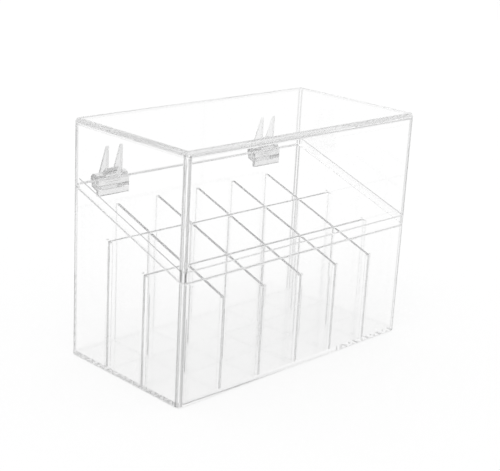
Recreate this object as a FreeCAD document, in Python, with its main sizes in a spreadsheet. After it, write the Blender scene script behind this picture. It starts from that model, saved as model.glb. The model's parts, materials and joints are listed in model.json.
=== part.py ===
"""A clear moulded organizer box with a hinged lid.

The tray and the lid meet on a plane that slants down from the back to the front. Inside the
tray, upright dividers lap into one another and make a grid of square wells. Two clear hinges
on the back carry the lid. Lengths are in millimetres. The origin is the centre of the tray's
underside, +X is to the right, +Y is to the back and +Z is up.
"""
import FreeCAD, Part
import os
import Sketcher

SIZES = (
    ("width", 175.0, "box, left to right, outside"),
    ("depth", 90.0, "box, front to back, outside"),
    ("cut_back", 98.5, "height of the slanted joint at the back face"),
    ("cut_front", 67.3, "height of the slanted joint at the front face"),
    ("lid_rise", 36.0, "lid above the joint at the back face"),
    ("wall", 2.0, "upright walls of tray and lid"),
    ("top_plate", 3.0, "top of the lid"),
    ("floor_plate", 2.8, "floor of the tray"),
    ("corner_round", 3.0, "upright outer edges of the box"),
    ("top_round", 2.0, "outer edge round the top of the lid"),
    ("foot_round", 1.0, "edge under the tray"),
    ("rim_round", 0.6, "outer edges of both rims, along the joint"),
    ("lip_round", 0.35, "edges on top of the lip"),
    ("seam_gap", 0.15, "open line between tray and lid"),
    ("lip_rise", 5.3, "lip of the tray above the joint"),
    ("lip_gap", 0.25, "room between the lip and the lid"),
    ("lip_stop", 3.0, "lip ends this far in front of the back wall"),
    ("divider", 2.0, "thickness of the dividers"),
    ("divider_drop", 14.0, "top of the dividers below the joint"),
    ("divider_round", 1.0, "upper corners of the dividers"),
    ("divider_edge", 0.4, "edges along the top of the dividers"),
    ("slot_gap", 0.1, "room beside a divider in its lap or guide"),
    ("end_gap", 0.1, "room past the end of a divider"),
    ("seat_gap", 0.05, "room under a divider"),
    ("rib", 0.8, "thickness of a guide rib"),
    ("rib_depth", 1.2, "guide rib out of the wall"),
    ("hinge_place", 28.4, "middle of a hinge in from the end of the box"),
    ("axis_back", 4.0, "hinge axis behind the back face"),
    ("axis_drop", 1.0, "hinge axis below the joint at the back face"),
    ("knuckle", 3.0, "outer radius of the knuckles"),
    ("outer_knuckle", 4.7, "length of one knuckle of the lower leaf"),
    ("inner_knuckle", 11.4, "length of the knuckle of the upper leaf"),
    ("knuckle_gap", 0.2, "room between two knuckles, end to end"),
    ("turn_gap", 0.3, "room round the turning knuckle"),
    ("bond", 0.05, "film of cement between a leaf and the wall"),
    ("leaf", 2.0, "thickness of the lower leaf"),
    ("leaf_drop", 9.0, "foot of the lower leaf below the axis"),
    ("leaf_round", 0.7, "edge of the lower leaf's foot"),
    ("ledge_reach", 2.2, "ledge of the lower leaf behind the axis"),
    ("ledge_lip", 1.0, "upright edge of that ledge"),
    ("pad", 1.6, "thickness of the upper leaf's bonding pad"),
    ("pad_rise", 5.0, "pad above the joint"),
    ("web", 1.8, "thickness of the two webs of the upper leaf"),
    ("web_rise", 18.6, "tip of a web above the axis"),
    ("web_tip", 0.6, "width of that tip"),
    ("pin", 1.0, "radius of the hinge pin"),
    ("pin_gap", 0.06, "room round the pin"),
    ("pin_recess", 0.3, "end of the pin inside the end of its knuckle"),
)

COLUMNS = 6
LONG_DIVIDERS = ("front", "rear")
ROWS = len(LONG_DIVIDERS) + 1
HINGES = (("left", -1), ("right", 1))
TOLERANCE = 1e-6  # two lengths closer than this are the same

document = FreeCAD.newDocument("lipstick_organizer")
sheet = document.addObject("Spreadsheet::Sheet", "Sizes")
for row, (alias, number, meaning) in enumerate(SIZES, start=1):
    sheet.set(f"A{row}", meaning)
    sheet.set(f"B{row}", str(number))
    sheet.setAlias(f"B{row}", alias)
document.recompute()

# Lengths that several pieces share, as expressions on the sheet
HALF_WIDTH = "Sizes.width / 2"
HALF_DEPTH = "Sizes.depth / 2"
HEIGHT = "Sizes.cut_back + Sizes.lid_rise"
INNER_WIDTH = "(Sizes.width - 2 * Sizes.wall)"
INNER_DEPTH = "(Sizes.depth - 2 * Sizes.wall)"
# The lid's skirt and the tray's lip share the wall evenly, on both sides of their gap
SKIRT = "((Sizes.wall - Sizes.lip_gap) / 2)"
LIP_INSET = f"({SKIRT} + Sizes.lip_gap)"
LIP_BACK = f"{HALF_DEPTH} - Sizes.wall - Sizes.lip_stop"
LEAST_ROUND = f"{SKIRT} / 4"
# Rounds that leave something of the thin rims they lie on
RIM_EDGE = f"min(Sizes.rim_round; 7 * {SKIRT} / 10)"
LIP_EDGE = f"min(Sizes.lip_round; 2 * {SKIRT} / 5)"
# Walls keep their thickness round the corners
INNER_ROUND = f"max(Sizes.corner_round - Sizes.wall; {LEAST_ROUND})"
COLUMN_PITCH = f"({INNER_WIDTH} + Sizes.divider) / {COLUMNS}"
ROW_PITCH = f"({INNER_DEPTH} + Sizes.divider) / {ROWS}"
LAP_HALF = "(Sizes.divider / 2 + Sizes.slot_gap)"
DIVIDER_FOOT = "(Sizes.floor_plate + Sizes.seat_gap)"
HINGE_LENGTH = "(Sizes.inner_knuckle + 2 * Sizes.knuckle_gap + 2 * Sizes.outer_knuckle)"
HINGE_X = f"({HALF_WIDTH} - Sizes.hinge_place)"
LEAF_FACE = "(Sizes.bond - Sizes.axis_back)"
LEDGE = "(Sizes.knuckle + Sizes.turn_gap)"
# The wedge under the ledge starts half way down the plate, and the neck ends just over the axis
WEDGE_FOOT = f"({LEDGE} + Sizes.leaf_drop) / 2"
NECK_TOP = "Sizes.axis_drop / 4"


def column_x(number):
    """Middle of a cross divider, counted from 1 at the left."""
    return f"{number - COLUMNS / 2} * {COLUMN_PITCH}"


def row_y(number):
    """Middle of a long divider, counted from 1 at the front."""
    return f"{number - ROWS / 2} * {ROW_PITCH}"


def joint_height(y):
    """Height of the slanted joint over a place y between front and back."""
    share = f"({y} + {HALF_DEPTH}) / Sizes.depth"
    return f"(Sizes.cut_front + (Sizes.cut_back - Sizes.cut_front) * {share})"


def rim_height(y):
    """Lower rim of the lid, an open line above the joint."""
    return f"({joint_height(y)} + Sizes.seam_gap)"


def divider_height(y):
    """Top of the dividers, which runs along below the joint."""
    return f"({joint_height(y)} - Sizes.divider_drop)"


def lip_height(y):
    """Top of the tray's lip, which runs along above the joint."""
    return f"({joint_height(y)} + Sizes.lip_rise)"


def lap_height(y):
    """Half the height of a divider, where two of them lap."""
    return f"({DIVIDER_FOOT} + {divider_height(y)}) / 2"


def new_body(node):
    """An empty body whose label names its file."""
    body = document.addObject("PartDesign::Body", node)
    body.Label = node
    return body


def new_sketch(body, name, plane, offset="0"):
    """A sketch on one of the body's own planes, moved along the plane's normal."""
    sketch = body.newObject("Sketcher::SketchObject", f"{body.Name}_{name}_sketch")
    support = next(item for item in body.Origin.OriginFeatures if item.Role == plane)
    sketch.AttachmentSupport = [(support, "")]
    sketch.MapMode = "FlatFace"
    sketch.setExpression("AttachmentOffset.Base.z", offset)
    return sketch


def number_of(sketch, expression):
    """Value of an expression as a plain number."""
    result = sketch.evalExpression(expression)
    return float(getattr(result, "Value", result))


def add_outline(sketch, corners):
    """A closed outline of straight sides. Each corner is a pair of expressions."""
    points = [FreeCAD.Vector(number_of(sketch, u), number_of(sketch, v), 0) for u, v in corners]
    first = sketch.GeometryCount
    for start, end in zip(points, points[1:] + points[:1]):
        sketch.addGeometry(Part.LineSegment(start, end))
    for side in range(len(corners)):
        following = first + (side + 1) % len(corners)
        sketch.addConstraint(Sketcher.Constraint("Coincident", first + side, 2, following, 1))
    for side, corner in enumerate(corners):
        for kind, expression in zip(("DistanceX", "DistanceY"), corner):
            length = number_of(sketch, expression)
            held = Sketcher.Constraint(kind, -1, 1, first + side, 1, length)
            index = sketch.addConstraint(held)
            sketch.setExpression(f"Constraints[{index}]", expression)


def add_circle(sketch, radius):
    """A circle about the sketch's origin."""
    centre = FreeCAD.Vector(0, 0, 0)
    circle = Part.Circle(centre, FreeCAD.Vector(0, 0, 1), number_of(sketch, radius))
    index = sketch.addGeometry(circle)
    sketch.addConstraint(Sketcher.Constraint("Coincident", index, 3, -1, 1))
    held = sketch.addConstraint(Sketcher.Constraint("Radius", index, number_of(sketch, radius)))
    sketch.setExpression(f"Constraints[{held}]", radius)


def rectangle(left, right, low, high):
    """Corners of an upright rectangle."""
    return ((left, low), (right, low), (right, high), (left, high))


def centred_rectangle(across, along):
    """Corners of a rectangle about the origin, from its two half lengths."""
    return rectangle(f"-({across})", across, f"-({along})", along)


def extrude(body, kind, sketch, length, sides="Symmetric", backwards=False):
    """A Pad or a Pocket, which has to add or remove material."""
    before = 0.0 if body.Tip is None else body.Tip.Shape.Volume
    feature = body.newObject(f"PartDesign::{kind}", sketch.Name.replace("sketch", kind.lower()))
    feature.Profile = sketch
    feature.SideType = sides
    feature.Reversed = backwards
    feature.setExpression("Length", length)
    document.recompute()
    change = feature.Shape.Volume - before
    if (change > 0) != (kind == "Pad"):
        raise RuntimeError(f"{feature.Name} does nothing")
    return feature


def round_edges(body, name, radius, chosen):
    """A fillet on the edges of the body's tip that a test picks."""
    tip = body.Tip
    names = [f"Edge{index}" for index, edge in enumerate(tip.Shape.Edges, 1) if chosen(edge)]
    fillet = body.newObject("PartDesign::Fillet", f"{body.Name}_{name}")
    fillet.Base = (tip, names)
    fillet.setExpression("Radius", radius)
    document.recompute()
    return fillet


def runs_upright(edge):
    """True for a straight edge along Z."""
    first, last = edge.firstVertex().Point, edge.lastVertex().Point
    return abs(first.x - last.x) < TOLERANCE and abs(first.y - last.y) < TOLERANCE


def lies_at(height):
    """A test for edges that lie level at a height."""
    return lambda edge: all(abs(vertex.Z - height) < TOLERANCE for vertex in edge.Vertexes)


def upright_at(across, along):
    """A test for upright edges at the corners of a rectangle about the origin."""
    x, y = value(across), value(along)
    return lambda edge: (
        runs_upright(edge)
        and abs(abs(edge.CenterOfMass.x) - x) < TOLERANCE
        and abs(abs(edge.CenterOfMass.y) - y) < TOLERANCE
    )


def on_slope(height, across, along):
    """A test for edges on a slanted plane that end on the sides of a rectangle about the origin."""
    x, y = value(across), value(along)
    level = value(height("0"))
    slope = value(height("1")) - level

    def on_side(vertex):
        in_plane = abs(vertex.Z - level - slope * vertex.Y) < TOLERANCE
        return in_plane and abs(max(abs(vertex.X) - x, abs(vertex.Y) - y)) < TOLERANCE

    return lambda edge: all(on_side(vertex) for vertex in edge.Vertexes)


def upper_corner(end, height, direction):
    """A test for the edge across a divider at one end of its top."""
    far, top = value(end), value(height)
    return lambda edge: (
        abs(getattr(edge.CenterOfMass, direction) - far) < TOLERANCE
        and lies_at(top)(edge)
    )


def value(expression):
    """Number that an expression on the sheet gives now."""
    return number_of(sheet, expression)


def box_blank(body):
    """The square block that the tray and the lid are both hollowed from."""
    sketch = new_sketch(body, "outline", "XY_Plane")
    add_outline(sketch, centred_rectangle(HALF_WIDTH, HALF_DEPTH))
    extrude(body, "Pad", sketch, HEIGHT, "One side")


def half_space(above, height):
    """Corners of a large region over or under a slanted plane, past both ends of the box."""
    far = "Sizes.depth"
    limit = f"2 * ({HEIGHT})" if above else f"-({HEIGHT})"
    return (
        (f"-{far}", height(f"-{far}")),
        (far, height(far)),
        (far, limit),
        (f"-{far}", limit),
    )


def make_tray():
    """Tray with its floor, guide ribs and the lip that the lid closes over."""
    body = new_body("base_tray")
    box_blank(body)
    inner_x = f"{INNER_WIDTH} / 2"
    inner_y = f"{INNER_DEPTH} / 2"

    hollow = new_sketch(body, "hollow", "XY_Plane", "Sizes.floor_plate")
    add_outline(hollow, centred_rectangle(inner_x, inner_y))
    extrude(body, "Pocket", hollow, HEIGHT, "One side", backwards=True)

    ribs = new_sketch(body, "ribs", "XY_Plane", "Sizes.floor_plate")
    far_side = f"({LAP_HALF} + Sizes.rib)"
    for number in range(1, COLUMNS):
        middle = column_x(number)
        front = (f"-{inner_y}", f"Sizes.rib_depth - {inner_y}")
        add_outline(ribs, rectangle(f"{middle} - {far_side}", f"{middle} - {LAP_HALF}", *front))
        add_outline(ribs, rectangle(f"{middle} + {LAP_HALF}", f"{middle} + {far_side}", *front))
    for number in range(1, ROWS):
        middle = row_y(number)
        for left, right in ((f"-{inner_x}", f"Sizes.rib_depth - {inner_x}"),
                            (f"{inner_x} - Sizes.rib_depth", inner_x)):
            add_outline(ribs, rectangle(left, right, f"{middle} - {far_side}", f"{middle} - {LAP_HALF}"))
            add_outline(ribs, rectangle(left, right, f"{middle} + {LAP_HALF}", f"{middle} + {far_side}"))
    extrude(body, "Pad", ribs, f"{HEIGHT} - Sizes.floor_plate", "One side")

    rib_tops = new_sketch(body, "rib_tops", "YZ_Plane")
    add_outline(rib_tops, (
        (f"-{inner_y}", divider_height(f"-{inner_y}")),
        (inner_y, divider_height(inner_y)),
        (inner_y, f"2 * ({HEIGHT})"),
        (f"-{inner_y}", f"2 * ({HEIGHT})"),
    ))
    extrude(body, "Pocket", rib_tops, INNER_WIDTH)

    rim = new_sketch(body, "rim", "YZ_Plane")
    add_outline(rim, half_space(True, joint_height))
    extrude(body, "Pocket", rim, "2 * Sizes.width")

    lip = new_sketch(body, "lip", "XY_Plane", "Sizes.floor_plate")
    lip_outside = (f"{HALF_WIDTH} - {LIP_INSET}", f"{HALF_DEPTH} - {LIP_INSET}")
    add_outline(lip, centred_rectangle(*lip_outside))
    add_outline(lip, centred_rectangle(inner_x, inner_y))
    extrude(body, "Pad", lip, f"{HEIGHT} - Sizes.floor_plate", "One side")
    lip_corner = f"max(Sizes.corner_round - {LIP_INSET}; {LEAST_ROUND})"
    round_edges(body, "lip_corners", lip_corner, upright_at(*lip_outside))
    round_edges(body, "inner_corners", INNER_ROUND, upright_at(inner_x, inner_y))
    round_edges(body, "corners", "Sizes.corner_round", upright_at(HALF_WIDTH, HALF_DEPTH))
    round_edges(body, "foot", "Sizes.foot_round", lies_at(0))

    lip_top = new_sketch(body, "lip_top", "YZ_Plane")
    far = "Sizes.depth"
    add_outline(lip_top, (
        (f"-{far}", lip_height(f"-{far}")),
        (LIP_BACK, lip_height(LIP_BACK)),
        (LIP_BACK, joint_height(LIP_BACK)),
        (far, joint_height(far)),
        (far, f"2 * ({HEIGHT})"),
        (f"-{far}", f"2 * ({HEIGHT})"),
    ))
    extrude(body, "Pocket", lip_top, "2 * Sizes.width")
    round_edges(body, "rim_outside", RIM_EDGE, on_slope(joint_height, HALF_WIDTH, HALF_DEPTH))
    lip_inner = on_slope(lip_height, inner_x, inner_y)
    lip_outer = on_slope(lip_height, *lip_outside)
    round_edges(body, "lip_edges", LIP_EDGE, lambda edge: lip_inner(edge) or lip_outer(edge))
    return body


def make_lid():
    """Lid with the rebate that takes the tray's lip at the front and the two sides."""
    body = new_body("lid_cover")
    box_blank(body)

    hollow = new_sketch(body, "hollow", "XY_Plane")
    inside = (f"{INNER_WIDTH} / 2", f"{INNER_DEPTH} / 2")
    add_outline(hollow, centred_rectangle(*inside))
    extrude(body, "Pocket", hollow, f"{HEIGHT} - Sizes.top_plate", "One side", backwards=True)

    rebate = new_sketch(body, "rebate", "YZ_Plane")
    front = f"{SKIRT} - {HALF_DEPTH}"
    back = f"{LIP_BACK} + Sizes.lip_gap"
    add_outline(rebate, (
        (front, f"-({HEIGHT})"),
        (back, f"-({HEIGHT})"),
        (back, f"{lip_height(back)} + Sizes.lip_gap"),
        (front, f"{lip_height(front)} + Sizes.lip_gap"),
    ))
    extrude(body, "Pocket", rebate, f"Sizes.width - 2 * {SKIRT}")
    rebate_round = f"max(Sizes.corner_round - {SKIRT}; {LEAST_ROUND})"
    rebate_corner = upright_at(f"{HALF_WIDTH} - {SKIRT}", f"{HALF_DEPTH} - {SKIRT}")
    round_edges(body, "rebate_corners", rebate_round, rebate_corner)
    round_edges(body, "corners", "Sizes.corner_round", upright_at(HALF_WIDTH, HALF_DEPTH))
    round_edges(body, "top", "Sizes.top_round", lies_at(value(HEIGHT)))

    opening = new_sketch(body, "opening", "YZ_Plane")
    add_outline(opening, half_space(False, rim_height))
    extrude(body, "Pocket", opening, "2 * Sizes.width")
    round_edges(body, "rim_outside", RIM_EDGE, on_slope(rim_height, HALF_WIDTH, HALF_DEPTH))
    inner_corner = upright_at(*inside)
    ceiling = lies_at(value(f"{HEIGHT} - Sizes.top_plate"))
    round_edges(body, "inner_edges", INNER_ROUND, lambda edge: inner_corner(edge) or ceiling(edge))
    return body


def round_divider(body, direction, corners, on_top):
    """Round a divider's upper corners, each a place along it and a height, and its top edges."""
    tests = [upper_corner(end, height, direction) for end, height in corners.items()]
    round_edges(body, "corners", "Sizes.divider_round", lambda edge: any(test(edge) for test in tests))
    round_edges(body, "top_edges", "Sizes.divider_edge", on_top)


def make_cross_divider(number):
    """Divider from front to back, lapped from above by the long dividers."""
    body = new_body(f"cross_divider_{number}")
    sketch = new_sketch(body, "sheet", "YZ_Plane")
    end = f"({INNER_DEPTH} / 2 - Sizes.end_gap)"
    corners = [(f"-{end}", DIVIDER_FOOT), (end, DIVIDER_FOOT), (end, divider_height(end))]
    for row in range(ROWS - 1, 0, -1):
        bottom = f"{lap_height(row_y(row))} - Sizes.slot_gap"
        for side, edge in ((1, "+"), (-1, "-")):
            place = f"{row_y(row)} {edge} {LAP_HALF}"
            steps = [(place, divider_height(place)), (place, bottom)]
            corners += steps[::side]
    corners.append((f"-{end}", divider_height(f"-{end}")))
    add_outline(sketch, corners)
    extrude(body, "Pad", sketch, "Sizes.divider")
    heights = {f"-{end}": divider_height(f"-{end}"), end: divider_height(end)}
    round_divider(body, "y", heights, on_slope(divider_height, "Sizes.divider / 2", end))
    body.setExpression("Placement.Base.x", column_x(number))
    return body


def make_long_divider(number, name):
    """Divider from left to right, notched underneath to drop over the cross dividers."""
    body = new_body(f"long_divider_{name}")
    sketch = new_sketch(body, "sheet", "XZ_Plane")
    end = f"({INNER_WIDTH} / 2 - Sizes.end_gap)"
    top = divider_height(row_y(number))
    lap = f"{lap_height(row_y(number))} + Sizes.slot_gap"
    corners = [(end, DIVIDER_FOOT), (end, top), (f"-{end}", top), (f"-{end}", DIVIDER_FOOT)]
    for column in range(1, COLUMNS):
        left = f"{column_x(column)} - {LAP_HALF}"
        right = f"{column_x(column)} + {LAP_HALF}"
        corners += [(left, DIVIDER_FOOT), (left, lap), (right, lap), (right, DIVIDER_FOOT)]
    add_outline(sketch, corners)
    extrude(body, "Pad", sketch, "Sizes.divider")
    round_divider(body, "x", {f"-{end}": top, end: top}, lies_at(value(top)))
    body.setExpression("Placement.Base.y", row_y(number))
    return body


def place_on_axis(piece, side):
    """Put a hinge piece, made about its own X axis, on the hinge line behind the box."""
    piece.setExpression("Placement.Base.x", f"{side} * {HINGE_X}")
    piece.setExpression("Placement.Base.y", f"{HALF_DEPTH} + Sizes.axis_back")
    piece.setExpression("Placement.Base.z", "Sizes.cut_back - Sizes.axis_drop")


def bore_for_pin(body):
    """Hole for the pin, right through the knuckles."""
    bore = new_sketch(body, "bore", "YZ_Plane")
    add_circle(bore, "Sizes.pin + Sizes.pin_gap")
    extrude(body, "Pocket", bore, f"2 * {HINGE_LENGTH}")


def make_lower_leaf(name, side):
    """Bracket on the tray's back: plate, ledge that stops the lid, and two outer knuckles."""
    body = new_body(f"hinge_{name}_lower_leaf")
    bracket = new_sketch(body, "bracket", "YZ_Plane")
    plate = f"{LEAF_FACE} + Sizes.leaf"
    add_outline(bracket, (
        (LEAF_FACE, "-Sizes.leaf_drop"),
        (plate, "-Sizes.leaf_drop"),
        (plate, f"-({WEDGE_FOOT})"),
        ("Sizes.ledge_reach", f"-({LEDGE} + Sizes.ledge_lip)"),
        ("Sizes.ledge_reach", f"-{LEDGE}"),
        (LEAF_FACE, f"-{LEDGE}"),
    ))
    extrude(body, "Pad", bracket, HINGE_LENGTH)
    foot = value("-Sizes.leaf_drop")
    round_edges(body, "leaf_foot", "Sizes.leaf_round",
                lambda edge: lies_at(foot)(edge) and edge.CenterOfMass.y > value(plate) - TOLERANCE)

    neck = new_sketch(body, "neck", "YZ_Plane")
    add_outline(neck, rectangle(LEAF_FACE, "Sizes.ledge_reach", f"-{LEDGE}", NECK_TOP))
    extrude(body, "Pad", neck, HINGE_LENGTH)

    barrel = new_sketch(body, "barrel", "YZ_Plane")
    add_circle(barrel, "Sizes.knuckle")
    extrude(body, "Pad", barrel, HINGE_LENGTH)

    gap = new_sketch(body, "gap", "YZ_Plane")
    reach = "2 * Sizes.knuckle"
    add_outline(gap, rectangle(f"{LEAF_FACE} - Sizes.knuckle", reach, f"-{LEDGE}", reach))
    extrude(body, "Pocket", gap, "Sizes.inner_knuckle + 2 * Sizes.knuckle_gap")

    bore_for_pin(body)
    place_on_axis(body, side)
    return body


def make_upper_leaf(name, side):
    """Knuckle of the lid on a bonding pad, with two webs that taper up the lid's back."""
    body = new_body(f"hinge_{name}_upper_leaf")
    barrel = new_sketch(body, "barrel", "YZ_Plane")
    add_circle(barrel, "Sizes.knuckle")
    extrude(body, "Pad", barrel, "Sizes.inner_knuckle")

    foot = "Sizes.axis_drop + Sizes.seam_gap + Sizes.turn_gap"
    inside = "Sizes.knuckle / 2"
    neck = new_sketch(body, "neck", "YZ_Plane")
    add_outline(neck, (
        (LEAF_FACE, foot),
        (f"-{inside}", f"-{inside}"),
        (inside, inside),
        (f"{LEAF_FACE} + Sizes.pad", "Sizes.axis_drop + Sizes.pad_rise"),
        (LEAF_FACE, "Sizes.axis_drop + Sizes.pad_rise"),
    ))
    extrude(body, "Pad", neck, "Sizes.inner_knuckle")

    tip = f"({LEAF_FACE} + Sizes.web_tip)"
    reach = f"sqrt({tip} * {tip} + Sizes.web_rise * Sizes.web_rise)"
    rake = f"(asin(Sizes.knuckle / {reach}) - atan({tip} / Sizes.web_rise))"
    web = new_sketch(body, "web", "YZ_Plane", "Sizes.inner_knuckle / 2 - Sizes.web")
    add_outline(web, (
        (LEAF_FACE, foot),
        (f"-{inside}", f"-{inside}"),
        (f"Sizes.knuckle * cos({rake})", f"Sizes.knuckle * sin({rake})"),
        (tip, "Sizes.web_rise"),
        (LEAF_FACE, "Sizes.web_rise"),
    ))
    first_web = extrude(body, "Pad", web, "Sizes.web", "One side")
    second_web = body.newObject("PartDesign::Mirrored", f"{body.Name}_second_web")
    second_web.Originals = [first_web]
    middle = next(item for item in body.Origin.OriginFeatures if item.Role == "YZ_Plane")
    second_web.MirrorPlane = (middle, [""])
    body.Tip = second_web
    document.recompute()

    bore_for_pin(body)
    place_on_axis(body, side)
    return body


def make_pin(name, side):
    """Clear pin through the three knuckles of a hinge."""
    pin = document.addObject("Part::Cylinder", f"hinge_{name}_pin")
    pin.Label = f"hinge_{name}_pin"
    pin.setExpression("Radius", "Sizes.pin")
    pin.setExpression("Height", f"{HINGE_LENGTH} - 2 * Sizes.pin_recess")
    pin.Placement = FreeCAD.Placement(FreeCAD.Vector(0, 0, 0), FreeCAD.Rotation(FreeCAD.Vector(0, 1, 0), 90))
    place_on_axis(pin, side)
    pin.setExpression(
        "Placement.Base.x",
        f"{side} * {HINGE_X} - {HINGE_LENGTH} / 2 + Sizes.pin_recess",
    )
    return pin


pieces = [make_tray(), make_lid()]
pieces += [make_cross_divider(number) for number in range(1, COLUMNS)]
pieces += [make_long_divider(number, name) for number, name in enumerate(LONG_DIVIDERS, start=1)]
for hinge_name, hinge_side in HINGES:
    pieces.append(make_lower_leaf(hinge_name, hinge_side))
    pieces.append(make_upper_leaf(hinge_name, hinge_side))
    pieces.append(make_pin(hinge_name, hinge_side))
document.recompute()

failed = [item.Name for item in document.Objects if {"Invalid", "Error"} & set(item.State)]
if failed:
    raise RuntimeError(f"failed objects: {failed}")
for piece in pieces:
    if piece.Shape.isNull() or not piece.Shape.isValid() or len(piece.Shape.Solids) != 1:
        raise RuntimeError(f"{piece.Label} is not one valid solid")

os.makedirs("parts", exist_ok=True)
for piece in pieces:
    piece.Shape.exportStep(f"parts/{piece.Label}.step")
    print(f"{piece.Label}: {piece.Shape.Volume:.1f} mm3")
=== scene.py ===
"""Looks and studio for a clear organizer box with a hinged lid, on the frame of its parts.

Every part is clear plastic and shows by its edges: they are dull, painted shade greys their colour, they
mirror a grey ceiling, and light is absorbed on its way through a wall. Lengths are in metres.
"""
import json
import math

import bpy
import numpy as np
from bpy.props import FloatProperty, FloatVectorProperty, PointerProperty
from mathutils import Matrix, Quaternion, Vector

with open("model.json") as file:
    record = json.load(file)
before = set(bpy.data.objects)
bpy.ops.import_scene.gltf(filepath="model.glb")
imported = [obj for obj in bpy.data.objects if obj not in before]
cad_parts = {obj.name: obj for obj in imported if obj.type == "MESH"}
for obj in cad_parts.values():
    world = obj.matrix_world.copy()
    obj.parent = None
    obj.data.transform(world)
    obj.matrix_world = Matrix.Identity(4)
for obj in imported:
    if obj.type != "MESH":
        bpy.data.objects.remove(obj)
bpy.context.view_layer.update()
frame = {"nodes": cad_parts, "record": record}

bl_info = {
    "name": "Clear Organizer Box",
    "version": (1, 0, 0),
    "blender": (4, 5, 0),
    "location": "View3D > Sidebar > Organizer",
    "description": "Finishes the clear parts of an organizer box and sets up its studio",
    "category": "Object",
}

PHOTO_WIDTH = 500
NEAREST_SEEN = 0.01
MOST_BOUNCES = 256
HALF_A_BOUNCE = 0.5
WHITE = (1.0, 1.0, 1.0, 1.0)
ALL_AXES = (1.0, 1.0, 1.0)
# Axis across a divider, by the first word of its name
SHEET_AXES = {"cross": (1.0, 0.0, 0.0), "long": (0.0, 1.0, 0.0)}
# Faces that count as edges, which get painted shade and dulling, by the largest share of their normal
# along the axes
WALL_EDGES = (0.90, 0.999)
SHEET_EDGES = (-1.0, 0.9)
# Soft step at both ends of that range, and the upward share from which an edge isn't upright
EDGE_STEP = 0.01
LEVEL_STEP = 0.2
# Finer layers of each noise, the part of the haze's noise that turns hazy, and ripples to a patch
RIPPLE_DETAIL = 1.0
HAZE_DETAIL = 4.0
HAZE_START, HAZE_END = 0.5, 0.75
PATCH_RIPPLES = 2
# Way of the key lamp's light
KEY_DIRECTION = Vector((0.45, 0.25, -1.0))
# Direction of the middle of the ceiling, which leans over the right front
CEILING_MIDDLE = Vector((0.2, -0.2, 0.96)).normalized()
# Share of a direction along it where the white walls end and where the ceiling is reached
CEILING_EDGE = (0.5, 0.7)


class OrganizerPlastic(bpy.types.PropertyGroup):
    """Clear plastic that the parts are moulded from."""

    ior: FloatProperty(
        name="Index of Refraction",
        description="How strongly the plastic bends light",
        default=1.49, min=1.0, max=2.0,
    )
    tint: FloatVectorProperty(
        name="Tint",
        description="Colour that light keeps on its way through the plastic",
        subtype="COLOR", default=(0.90, 0.90, 0.90), min=0.0, max=1.0,
    )
    wall_absorption: FloatProperty(
        name="Wall Absorption",
        description="Strength of the tint in the tray and the lid, per metre",
        default=3.0, min=0.0,
    )
    divider_absorption: FloatProperty(
        name="Divider Absorption",
        description="Strength of the tint in the dividers, per metre",
        default=6.0, min=0.0,
    )
    hinge_absorption: FloatProperty(
        name="Hinge Absorption",
        description="Strength of the tint in the hinges, per metre",
        default=60.0, min=0.0,
    )
    ripple_width: FloatProperty(
        name="Ripple Width",
        description="Width of the faint waves that the mould leaves on a face",
        subtype="DISTANCE", default=0.022, min=0.001,
    )
    ripple_height: FloatProperty(
        name="Ripple Height",
        description="Height of those waves",
        subtype="DISTANCE", default=0.000012, min=0.0, precision=6,
    )
    haze: FloatProperty(
        name="Haze",
        description="Roughness of the faces where hands have rubbed them",
        subtype="FACTOR", default=0.02, min=0.0, max=1.0,
    )
    edge_dulling: FloatProperty(
        name="Edge Dulling",
        description="Roughness of rounded edges, slanted rims and cut edges, and of the hinges all over",
        subtype="FACTOR", default=0.15, min=0.0, max=1.0,
    )
    # Painted shade: greys the colour of the level and slanted edges of the tray and lid, in place of
    # dark surroundings seen in them.
    wall_edge_tint: FloatVectorProperty(
        name="Wall Edge Painted Shade",
        description="Share of light that one crossing of a level or slanted edge lets through",
        subtype="COLOR", default=(0.84, 0.84, 0.84), min=0.0, max=1.0,
    )
    # Painted shade: greys the colour of the upright corners of the box, darker than the other edges.
    corner_tint: FloatVectorProperty(
        name="Corner Painted Shade",
        description="Share of light that one crossing of an upright edge of the box lets through",
        subtype="COLOR", default=(0.40, 0.40, 0.40), min=0.0, max=1.0,
    )
    # Painted shade: greys the colour of the dividers' edges.
    sheet_edge_tint: FloatVectorProperty(
        name="Sheet Edge Painted Shade",
        description="Share of light that one crossing of an edge of a divider lets through",
        subtype="COLOR", default=(0.78, 0.78, 0.78), min=0.0, max=1.0,
    )
    hinge_tint: FloatVectorProperty(
        name="Hinge Tint",
        description="Share of light that one crossing of the hinges' dull faces lets through",
        subtype="COLOR", default=(0.80, 0.80, 0.80), min=0.0, max=1.0,
    )


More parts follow.
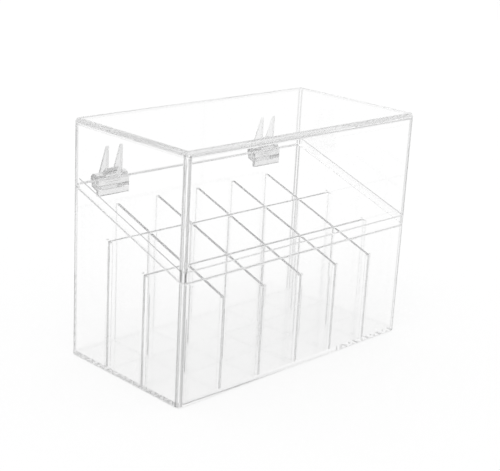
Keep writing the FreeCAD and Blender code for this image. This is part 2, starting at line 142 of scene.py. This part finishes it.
class OrganizerStudio(bpy.types.PropertyGroup):
    """Floor, light and camera."""

    floor_size: FloatProperty(
        name="Floor Size",
        description="Side of the square floor",
        subtype="DISTANCE", default=12.0, min=1.0,
    )
    floor_gap: FloatProperty(
        name="Floor Gap",
        description="Film of air between the floor and the underside of the tray",
        subtype="DISTANCE", default=0.0002, min=0.0, precision=5,
    )
    floor_colour: FloatVectorProperty(
        name="Floor Colour",
        description="Colour of the floor under the lamps",
        subtype="COLOR", default=(0.15, 0.15, 0.15), min=0.0, max=1.0,
    )
    floor_lift: FloatProperty(
        name="Floor Lift",
        description="Light that brings the lit floor up to white",
        default=0.86, min=0.0,
    )
    ceiling: FloatProperty(
        name="Ceiling",
        description="Brightness of the ceiling that rounded edges mirror, beside white walls",
        subtype="FACTOR", default=0.4, min=0.0, max=1.0,
    )
    sky_strength: FloatProperty(
        name="Sky Strength",
        description="Soft light from all round on matt surfaces",
        default=0.75, min=0.0,
    )
    key_strength: FloatProperty(
        name="Key Strength",
        description="Light of the soft key lamp on a level surface",
        default=0.8, min=0.0,
    )
    key_spread: FloatProperty(
        name="Key Spread",
        description="Width of the key lamp as the object sees it",
        subtype="ANGLE", default=math.radians(40.0),
    )
    camera_azimuth: FloatProperty(
        name="Camera Azimuth",
        description="Turn of the camera round the object, from the front",
        subtype="ANGLE", default=math.radians(-45.647),
    )
    camera_elevation: FloatProperty(
        name="Camera Elevation",
        description="Height of the camera above the horizon",
        subtype="ANGLE", default=math.radians(17.653),
    )
    camera_roll: FloatProperty(
        name="Camera Roll",
        description="Turn of the camera about its own line of sight",
        subtype="ANGLE", default=math.radians(3.214),
    )
    camera_distance: FloatProperty(
        name="Camera Distance",
        description="Camera from the point that it looks at",
        subtype="DISTANCE", default=0.6392, min=0.01,
    )
    camera_aim: FloatVectorProperty(
        name="Camera Aim",
        description="Point that the camera looks at",
        subtype="XYZ", default=(-0.01903, -0.02219, 0.07434),
    )
    camera_focal_pixels: FloatProperty(
        name="Focal Length in Pixels",
        description="Focal length in pixels of the photograph",
        default=1182.40, min=1.0,
    )


def new_material(name):
    """An empty node material with its output, and its tree."""
    material = bpy.data.materials.new(name)
    material.use_nodes = True
    tree = material.node_tree
    tree.nodes.clear()
    output = tree.nodes.new("ShaderNodeOutputMaterial")
    return material, tree, output


def new_group(name, inputs, outputs):
    """An empty shader group. Each socket is a pair of a name and a kind."""
    group = bpy.data.node_groups.new(name, "ShaderNodeTree")
    for socket, kind in inputs:
        group.interface.new_socket(socket, in_out="INPUT", socket_type=f"NodeSocket{kind}")
    for socket, kind in outputs:
        group.interface.new_socket(socket, in_out="OUTPUT", socket_type=f"NodeSocket{kind}")
    start = group.nodes.new("NodeGroupInput")
    end = group.nodes.new("NodeGroupOutput")
    return group, start, end


def feed(tree, socket, value):
    """Link a socket to another one, or set it to a number or a colour."""
    if isinstance(value, bpy.types.NodeSocket):
        tree.links.new(value, socket)
    else:
        socket.default_value = value


def maths(tree, operation, first, second=0.0):
    """Output of a Math node. Each operand is a socket or a number."""
    node = tree.nodes.new("ShaderNodeMath")
    node.operation = operation
    feed(tree, node.inputs[0], first)
    feed(tree, node.inputs[1], second)
    return node.outputs["Value"]


def mixed(tree, share, first, second):
    """Output of a colour mix. Each colour is a socket or four numbers."""
    node = tree.nodes.new("ShaderNodeMix")
    node.data_type = "RGBA"
    feed(tree, node.inputs[0], share)
    colours = [socket for socket in node.inputs if socket.type == "RGBA"]
    feed(tree, colours[0], first)
    feed(tree, colours[1], second)
    return next(socket for socket in node.outputs if socket.type == "RGBA")


def noise_over(group, start, width, detail):
    """Noise in a group, with lumps as wide as the group's input of that name says."""
    noise = group.nodes.new("ShaderNodeTexNoise")
    noise.inputs["Detail"].default_value = detail
    group.links.new(start.outputs["Vector"], noise.inputs["Vector"])
    scale = maths(group, "DIVIDE", 1.0, start.outputs[width])
    group.links.new(scale, noise.inputs["Scale"])
    return noise.outputs["Fac"]


def mould_ripple():
    """Faint waves on a moulded face: smooth noise, as a height of 0 to 1."""
    group, start, end = new_group(
        "mould ripple",
        (("Vector", "Vector"), ("Ripple Width", "Float")),
        (("Height", "Float"),),
    )
    height = noise_over(group, start, "Ripple Width", RIPPLE_DETAIL)
    group.links.new(height, end.inputs["Height"])
    return group


def rubbed_haze():
    """Patches that hands have rubbed: clear below the middle of a broad noise, hazy above it."""
    group, start, end = new_group(
        "rubbed haze",
        (("Vector", "Vector"), ("Patch Width", "Float"), ("Haze", "Float")),
        (("Roughness", "Float"),),
    )
    patch = group.nodes.new("ShaderNodeMapRange")
    patch.inputs["From Min"].default_value = HAZE_START
    patch.inputs["From Max"].default_value = HAZE_END
    group.links.new(noise_over(group, start, "Patch Width", HAZE_DETAIL), patch.inputs["Value"])
    roughness = maths(group, "MULTIPLY", patch.outputs["Result"], start.outputs["Haze"])
    group.links.new(roughness, end.inputs["Roughness"])
    return group


def edge_finish():
    """Painted shade and roughness on the edges of a piece, white and smooth on its clear faces.

    With h the largest of |x|, |y| and |z| of the normal, each times its share in Axes, an edge runs
    from h = low to h = high, with a soft step at both ends. Its colour is painted shade, which goes
    from the upright edges' shade at |z| = 0 to the level edges' shade at |z| = LEVEL_STEP.
    """
    group, start, end = new_group(
        "edge finish",
        (("Normal", "Vector"), ("Axes", "Vector"), ("Low", "Float"), ("High", "Float"),
         ("Tint", "Color"), ("Upright Painted Shade", "Color"), ("Dull", "Float")),
        (("Base Color", "Color"), ("Roughness", "Float")),
    )
    shares = group.nodes.new("ShaderNodeVectorMath")
    shares.operation = "MULTIPLY"
    group.links.new(start.outputs["Normal"], shares.inputs[0])
    group.links.new(start.outputs["Axes"], shares.inputs[1])
    split = group.nodes.new("ShaderNodeSeparateXYZ")
    group.links.new(shares.outputs["Vector"], split.inputs["Vector"])
    across, along, upward = (maths(group, "ABSOLUTE", share) for share in split.outputs)
    size = maths(group, "MAXIMUM", maths(group, "MAXIMUM", across, along), upward)
    above = maths(group, "DIVIDE", maths(group, "SUBTRACT", size, start.outputs["Low"]), EDGE_STEP)
    below = maths(group, "DIVIDE", maths(group, "SUBTRACT", start.outputs["High"], size), EDGE_STEP)
    edge = maths(group, "MINIMUM", above, below)
    edge = maths(group, "MINIMUM", maths(group, "MAXIMUM", edge, 0.0), 1.0)
    rise = group.nodes.new("ShaderNodeSeparateXYZ")
    group.links.new(start.outputs["Normal"], rise.inputs["Vector"])
    level = maths(group, "DIVIDE", maths(group, "ABSOLUTE", rise.outputs["Z"]), LEVEL_STEP)
    level = maths(group, "MINIMUM", level, 1.0)
    # Painted shade in the edge colour: darker on upright edges, lighter on level ones.
    tint = mixed(group, level, start.outputs["Upright Painted Shade"], start.outputs["Tint"])
    group.links.new(mixed(group, edge, WHITE, tint), end.inputs["Base Color"])
    group.links.new(maths(group, "MULTIPLY", edge, start.outputs["Dull"]), end.inputs["Roughness"])
    return group


def add_group(tree, maker, values):
    """A node with the group that a function makes, and its inputs. Each group is made once."""
    name = maker.__name__.replace("_", " ")
    node = tree.nodes.new("ShaderNodeGroup")
    node.node_tree = bpy.data.node_groups.get(name) or maker()
    for socket, value in values.items():
        node.inputs[socket].default_value = value
    return node


def clear_plastic(name, absorption):
    """Clear plastic: bends light, takes a little of it away with depth, and has a moulded surface.

    Gives the material and its shader, whose colour and roughness are still to be set.
    """
    plastic = bpy.context.scene.organizer_plastic
    material, tree, output = new_material(name)

    place = tree.nodes.new("ShaderNodeTexCoord").outputs["Object"]
    ripple = add_group(tree, mould_ripple, {"Ripple Width": plastic.ripple_width})
    tree.links.new(place, ripple.inputs["Vector"])
    bump = tree.nodes.new("ShaderNodeBump")
    bump.inputs["Distance"].default_value = plastic.ripple_height
    tree.links.new(ripple.outputs["Height"], bump.inputs["Height"])

    surface = tree.nodes.new("ShaderNodeBsdfPrincipled")
    surface.inputs["Transmission Weight"].default_value = 1.0
    surface.inputs["IOR"].default_value = plastic.ior
    tree.links.new(bump.outputs["Normal"], surface.inputs["Normal"])
    tree.links.new(surface.outputs["BSDF"], output.inputs["Surface"])

    inside = tree.nodes.new("ShaderNodeVolumeAbsorption")
    inside.inputs["Color"].default_value = (*plastic.tint, 1.0)
    inside.inputs["Density"].default_value = absorption
    tree.links.new(inside.outputs["Volume"], output.inputs["Volume"])
    return material, surface


def finish_edges(material, surface, edge_painted_shade, upright_painted_shade, axes, low, high):
    """Rubbed haze on the clear faces of a piece, and on its edges a dull finish with painted shade in
    their colour.

    The edges are the faces whose normal lies between low and high along some axes of the piece.
    """
    plastic = bpy.context.scene.organizer_plastic
    tree = material.node_tree
    coordinates = tree.nodes.new("ShaderNodeTexCoord").outputs

    haze = add_group(tree, rubbed_haze, {
        "Patch Width": PATCH_RIPPLES * plastic.ripple_width,
        "Haze": plastic.haze,
    })
    tree.links.new(coordinates["Object"], haze.inputs["Vector"])
    edge = add_group(tree, edge_finish, {
        "Axes": axes,
        "Low": low,
        "High": high,
        "Tint": (*edge_painted_shade, 1.0),
        "Upright Painted Shade": (*upright_painted_shade, 1.0),
        "Dull": plastic.edge_dulling,
    })
    tree.links.new(coordinates["Normal"], edge.inputs["Normal"])
    tree.links.new(edge.outputs["Base Color"], surface.inputs["Base Color"])
    roughness = maths(tree, "MAXIMUM", haze.outputs["Roughness"], edge.outputs["Roughness"])
    tree.links.new(roughness, surface.inputs["Roughness"])


def wall_plastic(name):
    """Clear plastic of the tray or the lid, with painted shade on its edges, darker on the upright ones.
    """
    plastic = bpy.context.scene.organizer_plastic
    edge_painted_shades = (plastic.wall_edge_tint, plastic.corner_tint)
    material, surface = clear_plastic(name, plastic.wall_absorption)
    finish_edges(material, surface, *edge_painted_shades, ALL_AXES, *WALL_EDGES)
    return material


def dress(nodes, material):
    """Give a finish to CAD nodes."""
    for name in nodes:
        for slot in frame["nodes"][name].material_slots:
            slot.material = material


def nodes_of(slot):
    """CAD nodes that the record puts in a material slot."""
    return [part["node"] for part in frame["record"]["subparts"] if part["material_slot"] == slot]


def seen_ray(tree):
    """1 for a ray from the camera that has met nothing but clear or shiny surfaces, else 0."""
    path = tree.nodes.new("ShaderNodeLightPath").outputs
    kinds = maths(tree, "ADD", path["Is Camera Ray"], path["Is Glossy Ray"])
    kinds = maths(tree, "ADD", kinds, path["Is Transmission Ray"])
    clear_way = maths(tree, "LESS_THAN", path["Diffuse Depth"], HALF_A_BOUNCE)
    return maths(tree, "MULTIPLY", maths(tree, "MINIMUM", kinds, 1.0), clear_way)


def grid_surface(name, points):
    """A mesh object from a grid of points, of shape (rows, columns, 3)."""
    rows, columns = points.shape[:2]
    corner = np.arange(rows * columns).reshape(rows, columns)
    faces = np.stack((corner[:-1, :-1], corner[:-1, 1:], corner[1:, 1:], corner[1:, :-1]), axis=-1)
    mesh = bpy.data.meshes.new(name)
    mesh.from_pydata(points.reshape(-1, 3).tolist(), [], faces.reshape(-1, 4).tolist())
    item = bpy.data.objects.new(name, mesh)
    bpy.context.scene.collection.objects.link(item)
    return item


class OrganizerOperator:
    """What the operators share."""

    bl_options = {"REGISTER", "UNDO"}


class ORGANIZER_OT_tray(OrganizerOperator, bpy.types.Operator):
    """Finish the tray in clear moulded plastic"""

    bl_idname = "organizer.tray"
    bl_label = "Tray"

    def execute(self, context):
        dress(nodes_of("tray_clear"), wall_plastic("clear tray plastic"))
        return {"FINISHED"}


class ORGANIZER_OT_lid(OrganizerOperator, bpy.types.Operator):
    """Finish the lid in clear moulded plastic"""

    bl_idname = "organizer.lid"
    bl_label = "Lid"

    def execute(self, context):
        dress(nodes_of("lid_clear"), wall_plastic("clear lid plastic"))
        return {"FINISHED"}


class ORGANIZER_OT_dividers(OrganizerOperator, bpy.types.Operator):
    """Finish the dividers in clear sheet"""

    bl_idname = "organizer.dividers"
    bl_label = "Dividers"

    def execute(self, context):
        plastic = context.scene.organizer_plastic
        # The sheet edge tint is painted shade on the dividers' edges.
        absorption, tint = plastic.divider_absorption, plastic.sheet_edge_tint
        for kind, across in SHEET_AXES.items():
            nodes = [name for name in nodes_of("divider_clear") if name.startswith(kind)]
            material, surface = clear_plastic(f"clear {kind} divider sheet", absorption)
            finish_edges(material, surface, tint, tint, across, *SHEET_EDGES)
            dress(nodes, material)
        return {"FINISHED"}


class ORGANIZER_OT_hinges(OrganizerOperator, bpy.types.Operator):
    """Finish the hinges in clear moulded plastic"""

    bl_idname = "organizer.hinges"
    bl_label = "Hinges"

    def execute(self, context):
        plastic = context.scene.organizer_plastic
        material, surface = clear_plastic("clear hinge plastic", plastic.hinge_absorption)
        surface.inputs["Base Color"].default_value = (*plastic.hinge_tint, 1.0)
        surface.inputs["Roughness"].default_value = plastic.edge_dulling
        dress(nodes_of("hinge_clear"), material)
        return {"FINISHED"}


class ORGANIZER_OT_stage(OrganizerOperator, bpy.types.Operator):
    """Set up the pale floor, the soft light and the camera"""

    bl_idname = "organizer.stage"
    bl_label = "Stage"

    def execute(self, context):
        studio = context.scene.organizer_studio
        self.add_floor(studio)
        self.add_sky(context, studio)
        self.add_key(context, studio)
        self.add_camera(context, studio)
        self.set_rendering(context)
        return {"FINISHED"}

    def add_floor(self, studio):
        """Level square: x and y run over the floor's size, z is the floor gap below the tray."""
        ends = (-studio.floor_size / 2, studio.floor_size / 2)
        x, y = np.meshgrid(ends, ends)
        floor = grid_surface("floor", np.stack((x, y, np.full_like(x, -studio.floor_gap)), axis=-1))
        material, tree, output = new_material("pale floor")
        matt = tree.nodes.new("ShaderNodeBsdfDiffuse")
        matt.inputs["Color"].default_value = (*studio.floor_colour, 1.0)
        lift = tree.nodes.new("ShaderNodeEmission")
        strength = maths(tree, "MULTIPLY", seen_ray(tree), studio.floor_lift)
        tree.links.new(strength, lift.inputs["Strength"])
        both = tree.nodes.new("ShaderNodeAddShader")
        tree.links.new(matt.outputs["BSDF"], both.inputs[0])
        tree.links.new(lift.outputs["Emission"], both.inputs[1])
        tree.links.new(both.outputs["Shader"], output.inputs["Surface"])
        floor.data.materials.append(material)

    def add_sky(self, context, studio):
        """White walls and a grey ceiling to the eye, and even light on matt surfaces.

        Where a direction's share along CEILING_MIDDLE crosses CEILING_EDGE, the seen strength falls
        from 1 to the ceiling's.
        """
        world = bpy.data.worlds.new("studio")
        world.use_nodes = True
        tree = world.node_tree
        tree.nodes.clear()
        output = tree.nodes.new("ShaderNodeOutputWorld")
        sky = tree.nodes.new("ShaderNodeBackground")
        sky.inputs["Color"].default_value = WHITE
        direction = tree.nodes.new("ShaderNodeTexCoord").outputs["Generated"]
        share = tree.nodes.new("ShaderNodeVectorMath")
        share.operation = "DOT_PRODUCT"
        share.inputs[1].default_value = CEILING_MIDDLE
        tree.links.new(direction, share.inputs[0])
        seen = tree.nodes.new("ShaderNodeMapRange")
        seen.inputs["From Min"].default_value, seen.inputs["From Max"].default_value = CEILING_EDGE
        seen.inputs["To Min"].default_value = 1.0
        seen.inputs["To Max"].default_value = studio.ceiling
        tree.links.new(share.outputs["Value"], seen.inputs["Value"])
        extra = maths(tree, "SUBTRACT", seen.outputs["Result"], studio.sky_strength)
        extra = maths(tree, "MULTIPLY", seen_ray(tree), extra)
        tree.links.new(maths(tree, "ADD", extra, studio.sky_strength), sky.inputs["Strength"])
        tree.links.new(sky.outputs["Background"], output.inputs["Surface"])
        context.scene.world = world

    def add_key(self, context, studio):
        """Broad soft lamp above and behind the camera, a little to its left."""
        lamp = bpy.data.lights.new("key", "SUN")
        lamp.energy = studio.key_strength
        lamp.angle = studio.key_spread
        key = bpy.data.objects.new("key", lamp)
        key.rotation_euler = KEY_DIRECTION.to_track_quat("-Z", "Y").to_euler()
        context.scene.collection.objects.link(key)

    def add_camera(self, context, studio):
        """Camera on a sphere about its aim, rolled about its line of sight."""
        turn, rise = studio.camera_azimuth, studio.camera_elevation
        level = math.cos(rise)
        back = Vector((math.sin(turn) * level, -math.cos(turn) * level, math.sin(rise)))
        lens = bpy.data.cameras.new("camera")
        lens.lens = studio.camera_focal_pixels * lens.sensor_width / PHOTO_WIDTH
        lens.clip_start = NEAREST_SEEN
        camera = bpy.data.objects.new("camera", lens)
        camera.rotation_mode = "QUATERNION"
        roll = Quaternion((0.0, 0.0, 1.0), studio.camera_roll)
        camera.rotation_quaternion = (-back).to_track_quat("-Z", "Y") @ roll
        camera.location = Vector(studio.camera_aim) + back * studio.camera_distance
        context.scene.collection.objects.link(camera)
        context.scene.camera = camera

    def set_rendering(self, context):
        """Plain colours, and bounces enough for a ray that crosses all walls or runs inside one.

        Grain is cleaned by colour alone, because the helper passes of clear plastic are grainy too.
        """
        context.scene.view_settings.view_transform = "Standard"
        cycles = context.scene.cycles
        cycles.max_bounces = MOST_BOUNCES
        cycles.transmission_bounces = MOST_BOUNCES
        cycles.glossy_bounces = MOST_BOUNCES
        cycles.denoising_input_passes = "RGB"


OPERATORS = (
    ORGANIZER_OT_tray,
    ORGANIZER_OT_lid,
    ORGANIZER_OT_dividers,
    ORGANIZER_OT_hinges,
    ORGANIZER_OT_stage,
)


class ORGANIZER_PT_panel(bpy.types.Panel):
    """Lists the organizer's parts and their settings"""

    bl_idname = "ORGANIZER_PT_panel"
    bl_label = "Organizer"
    bl_space_type = "VIEW_3D"
    bl_region_type = "UI"
    bl_category = "Organizer"

    def draw(self, context):
        for operator in OPERATORS:
            self.layout.operator(operator.bl_idname)
        for settings in (context.scene.organizer_plastic, context.scene.organizer_studio):
            box = self.layout.box()
            for setting in settings.bl_rna.properties:
                if setting.identifier not in {"rna_type", "name"}:
                    box.prop(settings, setting.identifier)


CLASSES = (OrganizerPlastic, OrganizerStudio, *OPERATORS, ORGANIZER_PT_panel)


def register():
    for item in CLASSES:
        bpy.utils.register_class(item)
    bpy.types.Scene.organizer_plastic = PointerProperty(type=OrganizerPlastic)
    bpy.types.Scene.organizer_studio = PointerProperty(type=OrganizerStudio)


def unregister():
    del bpy.types.Scene.organizer_studio
    del bpy.types.Scene.organizer_plastic
    for item in reversed(CLASSES):
        bpy.utils.unregister_class(item)


def main():
    """Build the looks in order."""
    register()
    bpy.ops.organizer.tray()
    bpy.ops.organizer.lid()
    bpy.ops.organizer.dividers()
    bpy.ops.organizer.hinges()
    bpy.ops.organizer.stage()


if __name__ == "__main__":
    main()
